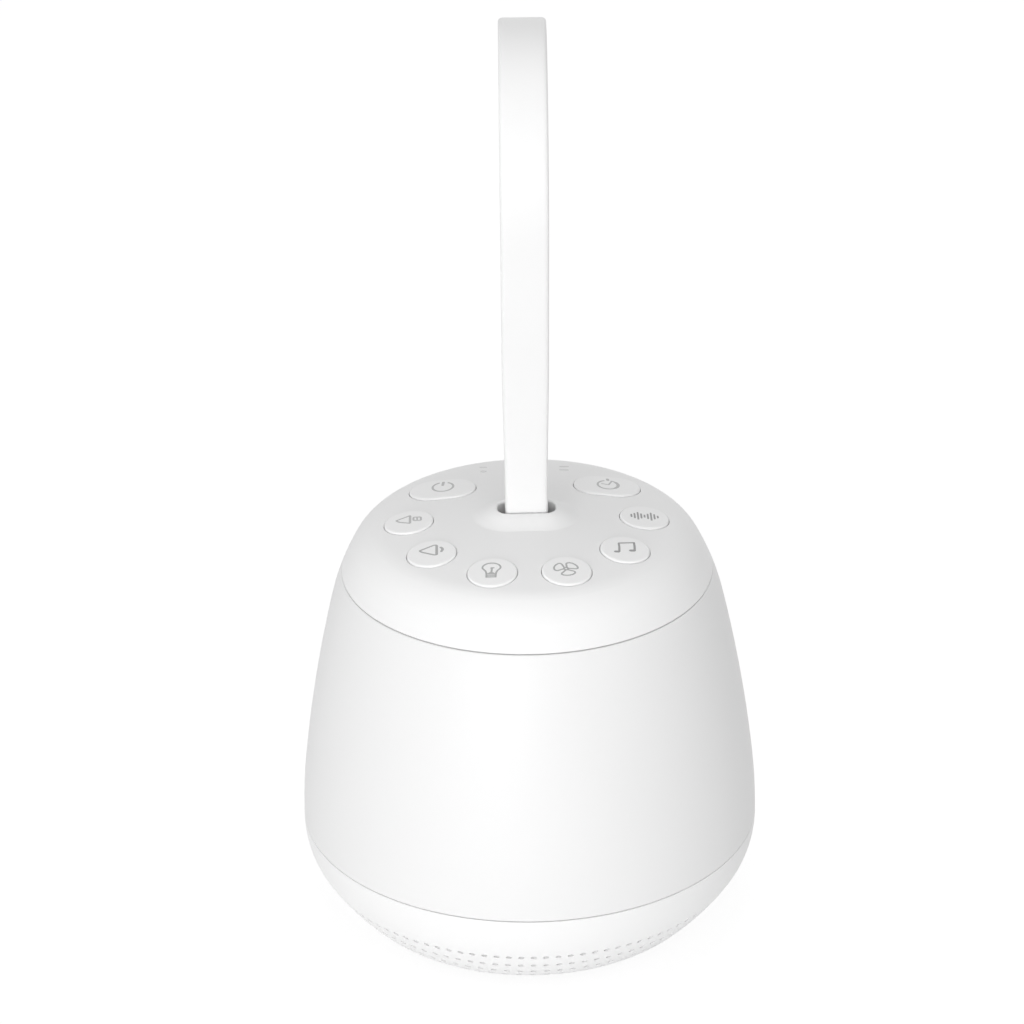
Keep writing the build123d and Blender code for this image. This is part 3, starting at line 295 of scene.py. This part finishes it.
def stroke_sections(points, width, closed):
    """(point, direction, half width) along a line, with round ends when it is open."""
    points = [Vector(p) for p in points]
    count = len(points)
    sections = []
    for k, point in enumerate(points):
        before = points[k - 1] if k or closed else None
        after = points[(k + 1) % count] if k < count - 1 or closed else None
        runs = [(b - a).normalized() for a, b in ((before, point), (point, after)) if a and b]
        along = sum(runs, Vector((0, 0))).normalized()
        half = width / 2
        if len(runs) == 2:
            half = min(width, half / max(CORNER_LIMIT, along.dot(runs[0])))
        sections.append((point, along, half))
    if closed:
        return sections
    angles = [math.radians(a) for a in END_ANGLES]
    half = width / 2
    point, along, _ = sections[0]
    start = [(point - along * half * math.sin(a), along, half * math.cos(a)) for a in angles]
    point, along, _ = sections[-1]
    end = [(point + along * half * math.sin(a), along, half * math.cos(a)) for a in reversed(angles)]
    return start + sections + end


def add_prism(verts, faces, rails, closed):
    """A closed strip from cross-sections of four corners each."""
    base = len(verts)
    count = len(rails)
    for rail in rails:
        verts.extend(rail)
    for k in range(count if closed else count - 1):
        a, b = base + 4 * k, base + 4 * ((k + 1) % count)
        for i in range(4):
            j = (i + 1) % 4
            faces.append((a + i, b + i, b + j, a + j))
    if not closed:
        faces.append((base, base + 1, base + 2, base + 3))
        faces.append(tuple(base + 4 * (count - 1) + i for i in (3, 2, 1, 0)))


def print_strokes(name, place, strokes, ink, proud=KEY_PROUD):
    """Lines of ink that follow the crown; each stroke is (points, width, closed)."""
    verts, faces = [], []
    for points, width, closed in strokes:
        rails = []
        for point, along, half in stroke_sections(points, width, closed):
            left = Vector((-along.y, along.x)) * half
            corners = ((left, -INK_SUNK), (left, INK_THICK), (-left, INK_THICK), (-left, -INK_SUNK))
            rail = []
            for side, rise in corners:
                x, y = place[0] + point.x + side.x, place[1] + point.y + side.y
                rail.append((x, y, crown_z(x, y) + proud + rise))
            rails.append(rail)
        add_prism(verts, faces, rails, closed)
    obj = mesh_object(name, verts, faces, smooth=False)
    face_outwards(obj.data)
    obj.data.materials.append(MATERIALS[ink])
    return obj


def turned(strokes, angle, move=(0, 0)):
    """The strokes turned by an angle in degrees, then moved."""
    cosine, sine = math.cos(math.radians(angle)), math.sin(math.radians(angle))
    result = []
    for points, width, closed in strokes:
        points = [(x * cosine - y * sine + move[0], x * sine + y * cosine + move[1]) for x, y in points]
        result.append((points, width, closed))
    return result


def rounded(corners, reach, steps=5):
    """A closed outline whose corners become small curves, which start a reach before the corner."""
    points = []
    count = len(corners)
    for k, corner in enumerate(corners):
        here, before, after = (Vector(c) for c in (corner, corners[k - 1], corners[(k + 1) % count]))
        start = here + (before - here).normalized() * reach
        end = here + (after - here).normalized() * reach
        for step in range(steps + 1):
            t = step / steps
            points.append(tuple(start * (1 - t) ** 2 + here * 2 * t * (1 - t) + end * t**2))
    return points


def stretched(points, centre, tall):
    """The points stretched away from a centre's height."""
    return [(x, centre[1] + (y - centre[1]) * tall) for x, y in points]


# ---- Icons: strokes of (points, width, closed), in millimetres from the middle of the key ------------
def power_icon():
    """A ring that is open at its top, with a bar in the opening."""
    centre = (0.07, 0.42)
    ring = stretched(arc(centre, 2.25, 112, 417, 40), centre, 1.13)
    bar = [(0.22, 3.05), (0.03, 1.3)]
    return [(ring, LINE * 1.3, False), (bar, LINE * 1.6, False)]


def timer_icon():
    """A clock that is open at its top, with a tick, a bent hand and a heavier right side."""
    centre = (0.25, -0.25)
    ring = stretched(arc(centre, 2.24, 112, 428, 40), centre, 1.07)
    side = stretched(arc(centre, 2.24, -42, 38, 12), centre, 1.07)
    tick = [(0.27, 3.0), (0.35, 2.4)]
    hands = [(-1.04, 0.18), (0.43, -0.18), (0.92, 1.18), (1.2, 1.95)]
    heavy = LINE * 1.8
    return [(ring, LINE * 1.2, False), (side, heavy, False), (tick, heavy, False), (hands, LINE, False)]


def volume_up_icon():
    """A loudspeaker with closed waves in front."""
    cone = rounded([(-2.75, 0.65), (0.32, 2.28), (0.26, -1.42), (-2.0, -0.3)], 0.25)
    waves = rounded([(1.0, 1.3), (2.6, 1.0), (2.6, -0.65), (1.0, -0.25)], 0.35)
    rim = ([(0.3, 1.9), (0.26, -1.1)], LINE * 1.4, False)
    middle = ([(1.8, 0.85), (1.8, -0.15)], LINE, False)
    return [(cone, LINE * 1.15, True), rim, (waves, LINE * 1.15, True), middle]


def volume_down_icon():
    """A loudspeaker with one short wave in front."""
    corners = [(-2.6, 0.78), (0.45, 2.45), (1.08, 2.4), (1.03, -1.55), (0.5, -1.52), (-2.1, 0.1)]
    cone = (rounded(corners, 0.22), LINE * 1.15, True)
    rim = ([(1.08, 2.1), (1.04, -1.3)], LINE * 1.5, False)
    wave = ([(1.95, 1.25), (2.25, 0.85), (2.3, 0.3), (2.05, -0.35)], LINE * 1.5, False)
    return [cone, rim, wave]


def light_icon():
    """A light bulb: its outline, the threads of its cap, and the filament on its post."""
    centre = (0, 0.95)
    bulb = stretched(arc(centre, 1.9, -12, 192, 28), centre, 0.87)
    side = [(-1.68, 0.35), (-1.28, -0.25), (-1.06, -0.9), (-0.99, -1.55), (-0.97, -2.6)]
    strokes = [([(-x, y) for x, y in reversed(side)] + bulb + side, LINE, False)]
    for y in (-1.35, -1.8, -2.2, -2.6):
        strokes.append(([(-0.95, y), (0.95, y)], LINE * 0.75, False))
    strokes.append(([(0.1, 0.8), (0.02, -1.0)], LINE * 1.1, False))
    strokes.append(([(-0.1, 0.75), (0.45, 0.8)], LINE, False))
    strokes.append(([(-0.7, -1.3), (0.02, -0.85), (0.7, -1.3)], LINE * 0.8, False))
    return turned(strokes, -3, (-0.18, 0.05))


def fan_icon():
    """Three broad blades round a hub, drawn a little wider than tall."""
    hub = (-0.17, -0.05)
    # (radius, angle) along a blade's outer edge
    edge = [(1.95, -44), (2.3, -40), (2.44, -30), (2.46, -15), (2.46, 0)]
    edge += [(2.44, 15), (2.38, 28), (2.2, 38), (1.85, 44)]
    blade = [(0.45, -0.24)]
    for radius, angle in edge:
        turn = math.radians(angle)
        blade.append((radius * math.cos(turn), radius * math.sin(turn)))
    blade.append((0.45, 0.24))
    strokes = []
    for angle in (44, 160, 286):
        strokes += turned([(blade, LINE, True)], angle, hub)
    strokes.append((arc(hub, 0.4, 0, 330, 12), LINE, True))
    return [([(1.05 * x + 0.06, y) for x, y in points], width, closed) for points, width, closed in strokes]


def lullaby_icon():
    """Two notes under one beam."""
    beam = ([(-1.22, 1.66), (2.04, 2.26)], LINE * 1.15, False)
    left_stem = ([(-1.22, 1.5), (-1.17, 0.07), (-1.24, -1.64)], LINE * 1.15, False)
    right_stem = ([(2.03, 2.1), (2.09, 0.71), (2.04, -0.93)], LINE * 1.25, False)
    left_head = ([(-2.02, -1.87), (-1.45, -1.83)], 0.75, False)
    right_head = ([(1.22, -1.1), (1.88, -1.0)], 0.8, False)
    return [beam, left_stem, right_stem, left_head, right_head]


def wave_icon():
    """A sound wave of upright bars that lean a little, along a line that rises a little."""
    pitch, slope, lean = 0.71, 0.061, 0.015
    heights = (0.55, 1.05, 1.58, 0.98, 0.47, 1.05, 1.68, 1.02, 0.4)
    bars = []
    for k, half in enumerate(heights):
        along = pitch * (k - len(heights) // 2)
        x, y = along + 0.08, slope * along - 0.2
        bars.append(([(x + lean * half, y - half), (x - lean * half, y + half)], LINE, False))
    return bars


# strokes, ink and place of each icon: the two ovals first
ICONS = {
    "power": (power_icon(), "ink_soft", (-OVAL_PLACE[0], OVAL_PLACE[1])),
    "timer": (timer_icon(), "ink_soft", OVAL_PLACE),
}
# angle on the ring from the front, strokes and ink of each round key's icon
RING_ICONS = {
    "light": (-18, light_icon(), "ink"),
    "fan": (18, fan_icon(), "ink"),
    "volume_down": (-54, volume_down_icon(), "ink"),
    "lullaby": (54, lullaby_icon(), "ink_dark"),
    "volume_up": (-90, volume_up_icon(), "ink_soft"),
    "white_noise": (90, wave_icon(), "ink_dark"),
}
for icon, (angle, strokes, ink) in RING_ICONS.items():
    turn = math.radians(angle - 90)
    ICONS[icon] = (strokes, ink, (BUTTON_RING * math.cos(turn), BUTTON_RING * math.sin(turn)))
for icon, (strokes, ink, (x, y)) in ICONS.items():
    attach(print_strokes(f"{icon}_icon", (x, y + ICON_SHIFT), strokes, ink), f"{icon}_key")

# side, distance behind the indicator window, and strokes of each small mark
BATTERY_DASHES = [([(-0.6, 0.08), (-0.3, 0.04)], 0.5, False), ([(0.1, 0), (0.65, -0.08)], 0.5, False)]
SLEEP_DASH = [([(-0.7, -0.04), (0.85, 0.04)], 0.65, False)]
MARKS = {
    "battery_mark": (-1, 2.8, BATTERY_DASHES),
    "sleep_mark": (1, 2.15, SLEEP_DASH),
}
for mark, (side, behind, strokes) in MARKS.items():
    place = (side * WINDOW_PLACE[0], WINDOW_PLACE[1] + behind)
    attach(print_strokes(mark, place, strokes, "ink_faint", proud=0.0), "housing")


# ---- Strap -------------------------------------------------------------------------------------------
JOINTS = {joint["name"]: joint for joint in frame["record"]["behaviour"]["joints"]}
FOLD_Z = JOINTS["handle_fold"]["pos_m"][2] / MM
LOOP_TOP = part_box("handle_strap")[1][2] / MM
PIN_Z = (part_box("strap_pin")[0][2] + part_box("strap_pin")[1][2]) / 2 / MM


def blend_in(value, low, high):
    """A soft step from 0 to 1 between two values."""
    t = min(1.0, max(0.0, (value - low) / (high - low)))
    return t * t * (3 - 2 * t)


def loop_stations():
    """Pairs of (y, z) points on the loop's outer and inner face, from its top down to the crotch."""
    half = STRAP_THICK / 2
    top_r = (LOOP_WIDTH - STRAP_THICK) / 2
    top_z = LOOP_TOP - half - top_r
    rise = top_z - FOLD_Z
    # the flare's angle at which the leg's straight run touches the top's circle
    low, high = 0.0, math.pi / 2
    while high - low > TOLERANCE:
        flare = (low + high) / 2
        leg_x = LEG_SPACING / 2 + FLARE_HEIGHT * math.tan(flare / 2)
        reach = (rise - FLARE_HEIGHT) * math.sin(flare) + leg_x * math.cos(flare)
        low, high = (flare, high) if reach < top_r else (low, flare)
    flare_r = FLARE_HEIGHT / math.sin(flare)
    centre = LEG_SPACING / 2 + flare_r

    def top_pair(angle):
        radii = (top_r + half, top_r - half)
        return [(r * math.cos(angle), top_z + r * math.sin(angle)) for r in radii]

    def flare_pair(angle):
        radii = (flare_r - half, flare_r + half)
        return [(centre - r * math.cos(angle), FOLD_Z + r * math.sin(angle)) for r in radii]

    sweep = math.pi / 2 + flare
    pairs = [top_pair(math.pi / 2 - sweep * k / TOP_STEPS) for k in range(TOP_STEPS + 1)]
    knee, tangent = flare_pair(flare), pairs[-1]
    for k in range(1, RUN_STEPS):
        pairs.append([tuple(Vector(tangent[i]).lerp(Vector(knee[i]), k / RUN_STEPS)) for i in (0, 1)])
    # the stations draw together towards the crotch, where the two legs meet
    crotch = math.asin(CROTCH_HEIGHT / flare_r)
    for k in range(FLARE_STEPS + 1):
        pairs.append(flare_pair(flare + (crotch - flare) * math.sin(math.pi / 2 * k / FLARE_STEPS)))
    return pairs


def section_part(width, radius, depth, part):
    """(x, depth) points across the strap: over its outer face, or back over its inner one."""
    side = width / 2
    angles = [math.radians(a) for a in EDGE_ANGLES]
    corner = [(side - radius + radius * math.cos(a), radius - radius * math.sin(a)) for a in angles]
    flat = [(x * (side - radius) / 2, 0.0) for x in (1, 0, -1)]
    over = corner + flat + [(-x, d) for x, d in reversed(corner)]
    if part == "inner":
        return [(-x, depth - d) for x, d in over[1:-1]]
    return [(side, depth - radius)] + over + [(-side, depth - radius)]


def strap_width(z):
    """The strap is narrower at its foot."""
    return STRAP_FOOT_WIDTH + (STRAP_WIDTH - STRAP_FOOT_WIDTH) * blend_in(z, FOLD_Z, STRAP_TAPER_TOP)


def strap_point(x, y, z):
    """Turns and leans the loop a little, above its foot."""
    free = blend_in(z, FOLD_Z, FOLD_Z + TWIST_RISE)
    turn = math.radians(STRAP_TWIST) * free
    lean = STRAP_LEAN * (z - FOLD_Z) * free
    return (x * math.cos(turn) + y * math.sin(turn) + lean, y * math.cos(turn) - x * math.sin(turn), z)


def add_row(verts, outer, inner, side, radius, part):
    """Vertices across the strap at one station; part picks the outer or the inner face."""
    row = []
    outer, inner = Vector(outer), Vector(inner)
    depth = (outer - inner).length
    for x, d in section_part(strap_width(outer.y), radius, depth, part):
        y, z = outer.lerp(inner, d / depth)
        row.append(len(verts))
        verts.append(strap_point(x * side, y * side, z))
    return row


def add_skin(faces, first, second, closed):
    """Faces between two rows that have as many vertices."""
    count = len(first)
    for i in range(count if closed else count - 1):
        j = (i + 1) % count
        faces.append((first[i], first[j], second[j], second[i]))


def add_loop(verts, faces, pairs):
    """Both halves of the loop, joined at its top and at the crotch; gives the ring round the crotch."""
    legs = {}
    for side in (1, -1):
        rows = []
        for outer, inner in pairs:
            outer_row = add_row(verts, outer, inner, side, STRAP_ROUND, "outer")
            rows.append((outer_row, add_row(verts, outer, inner, side, STRAP_ROUND, "inner")))
        legs[side] = rows
        for (a, b), (c, d) in zip(rows, rows[1:]):
            add_skin(faces, a + b, c + d, True)
    # the two halves share their first station, which lies on the loop's top
    (a, b), (c, d) = legs[1][0], legs[-1][0]
    add_skin(faces, a + b, list(reversed(c)) + list(reversed(d)), True)
    # at the crotch a skin joins the inner faces, and one ring goes round both outer ones
    (front_out, front_in), (rear_out, rear_in) = legs[-1][-1], legs[1][-1]
    rear_edge = [rear_out[-1]] + rear_in + [rear_out[0]]
    front_edge = [front_out[0]] + list(reversed(front_in)) + [front_out[-1]]
    add_skin(faces, rear_edge, front_edge, False)
    return rear_out + front_out


def add_neck(verts, faces, ring, depth, z):
    """The joined legs, from the ring at the crotch down to the round end under the pin."""
    stations = []
    while z - NECK_STEP > PIN_Z:
        z -= NECK_STEP
        stations.append((depth, z))
    turns = [math.pi / 2 * k / EYE_STEPS for k in range(EYE_STEPS)]
    stations += [(depth * math.cos(a), PIN_Z - depth * math.sin(a)) for a in turns]
    for y, z in stations:
        radius = min(STRAP_ROUND, EYE_ROUND * y)
        reach = min(STRAP_THICK, EYE_REACH * y)
        rows = [add_row(verts, (y, z), (y - reach, z), side, radius, "outer") for side in (1, -1)]
        new = rows[0] + rows[1]
        add_skin(faces, ring, new, True)
        ring = new
    middle = len(ring) // 2
    add_skin(faces, ring[:middle], list(reversed(ring[middle:])), False)


def build_strap():
    """The silicone strap in one piece: a loop, two legs that join, and an eye round the pin."""
    verts, faces = [], []
    pairs = loop_stations()
    ring = add_loop(verts, faces, pairs)
    add_neck(verts, faces, ring, *pairs[-1][0])
    obj = mesh_object("strap", verts, faces)
    face_outwards(obj.data, WELD)
    return obj


def bore(obj, radius, height, reach):
    """Cuts a hole along X through a piece."""
    drill_mesh = bpy.data.meshes.new("drill")
    bm = bmesh.new()
    turn = Matrix.Rotation(math.pi / 2, 4, "Y")
    bmesh.ops.create_cone(bm, cap_ends=True, segments=48, radius1=radius * MM, radius2=radius * MM,
                          depth=reach * MM, matrix=Matrix.Translation((0, 0, height * MM)) @ turn)
    bm.to_mesh(drill_mesh)
    bm.free()
    drill = new_object("drill", drill_mesh)
    cut = obj.modifiers.new("bore", "BOOLEAN")
    cut.operation, cut.solver, cut.object = "DIFFERENCE", "EXACT", drill
    graph = bpy.context.evaluated_depsgraph_get()
    result = bpy.data.meshes.new_from_object(obj.evaluated_get(graph))
    obj.modifiers.clear()
    obj.data = result
    bpy.data.objects.remove(drill)


strap = build_strap()
bore(strap, PIN_HOLE_R, PIN_Z, 2 * STRAP_WIDTH)
strap.data.shade_smooth()
strap.data.materials.clear()
strap.data.materials.append(MATERIALS["strap_silicone"])
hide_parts("handle_strap", "strap_anchor")
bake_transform(strap)


# ---- Floor, light and camera -------------------------------------------------------------------------
def light_path_mix(tree, plain, shown, factor=1.0):
    """Mixes to the shown shader for what the camera sees, straight or in gloss and glass."""
    nodes, links = tree.nodes, tree.links
    path = nodes.new("ShaderNodeLightPath")
    seen = path.outputs["Is Camera Ray"]
    for other in ("Is Glossy Ray", "Is Transmission Ray"):
        either = nodes.new("ShaderNodeMath")
        either.operation = "MAXIMUM"
        links.new(seen, either.inputs[0])
        links.new(path.outputs[other], either.inputs[1])
        seen = either.outputs[0]
    scale = nodes.new("ShaderNodeMath")
    scale.operation = "MULTIPLY"
    scale.inputs[1].default_value = factor
    links.new(seen, scale.inputs[0])
    mix = nodes.new("ShaderNodeMixShader")
    links.new(scale.outputs[0], mix.inputs["Fac"])
    links.new(plain, mix.inputs[1])
    links.new(shown, mix.inputs[2])
    return mix.outputs[0]


def build_world():
    """Even white light all round, behind a white backdrop."""
    world = bpy.data.worlds.new("studio")
    bpy.context.scene.world = world
    world.use_nodes = True
    tree = world.node_tree
    tree.nodes.clear()
    ambient = tree.nodes.new("ShaderNodeBackground")
    ambient.inputs["Color"].default_value = WHITE
    ambient.inputs["Strength"].default_value = AMBIENT
    white = tree.nodes.new("ShaderNodeBackground")
    white.inputs["Color"].default_value = WHITE
    white.inputs["Strength"].default_value = 1.0
    output = tree.nodes.new("ShaderNodeOutputWorld")
    tree.links.new(light_path_mix(tree, ambient.outputs[0], white.outputs[0]), output.inputs["Surface"])


def build_floor():
    """A floor that the camera sees as white, with the object's shadow on it."""
    half = FLOOR_SIZE / 2 / MM
    corners = [(-half, -half, 0), (half, -half, 0), (half, half, 0), (-half, half, 0)]
    floor = mesh_object("floor", corners, [(0, 1, 2, 3)], smooth=False)
    mat = bpy.data.materials.new("floor")
    mat.use_nodes = True
    tree = mat.node_tree
    tree.nodes.clear()
    matte = tree.nodes.new("ShaderNodeBsdfDiffuse")
    matte.inputs["Color"].default_value = (FLOOR_WHITE,) * 3 + (1,)
    glow = tree.nodes.new("ShaderNodeEmission")
    glow.inputs["Color"].default_value = WHITE
    glow.inputs["Strength"].default_value = FLOOR_GLOW
    output = tree.nodes.new("ShaderNodeOutputMaterial")
    mixed = light_path_mix(tree, matte.outputs[0], glow.outputs[0], 1 - FLOOR_SHADE)
    tree.links.new(mixed, output.inputs["Surface"])
    floor.data.materials.append(mat)


def add_lamp(name, azimuth, elevation, power):
    """A square soft lamp that shines at the object."""
    lamp = bpy.data.lights.new(name, "AREA")
    lamp.shape = "SQUARE"
    lamp.size = LAMP_SIZE
    lamp.energy = power
    obj = new_object(name, lamp)
    a, e = math.radians(azimuth), math.radians(elevation)
    away = Vector((math.sin(a) * math.cos(e), -math.cos(a) * math.cos(e), math.sin(e)))
    obj.location = Vector(LAMP_AIM) + away * LAMP_DISTANCE
    obj.rotation_mode = "QUATERNION"
    obj.rotation_quaternion = away.to_track_quat("Z", "Y")


def build_camera():
    """The camera that sees the object as the photograph does."""
    camera = bpy.data.cameras.new("camera")
    camera.lens = CAMERA_LENS
    camera.sensor_width = CAMERA_SENSOR
    camera.clip_start, camera.clip_end = [reach * MM for reach in CAMERA_REACH]
    obj = new_object("camera", camera)
    turn = Matrix.Rotation(math.radians(-CAMERA_TURN), 4, "Z")
    tilt = Matrix.Rotation(math.radians(90 - CAMERA_DOWN), 4, "X")
    roll = Matrix.Rotation(math.radians(CAMERA_ROLL), 4, "Z")
    obj.matrix_world = Matrix.Translation(Vector(CAMERA_PLACE) * MM) @ turn @ tilt @ roll
    bpy.context.scene.camera = obj


build_world()
build_floor()
for lamp, (azimuth, elevation, power) in LAMPS.items():
    add_lamp(lamp, azimuth, elevation, power)
build_camera()
bpy.context.scene.view_settings.view_transform = "Standard"
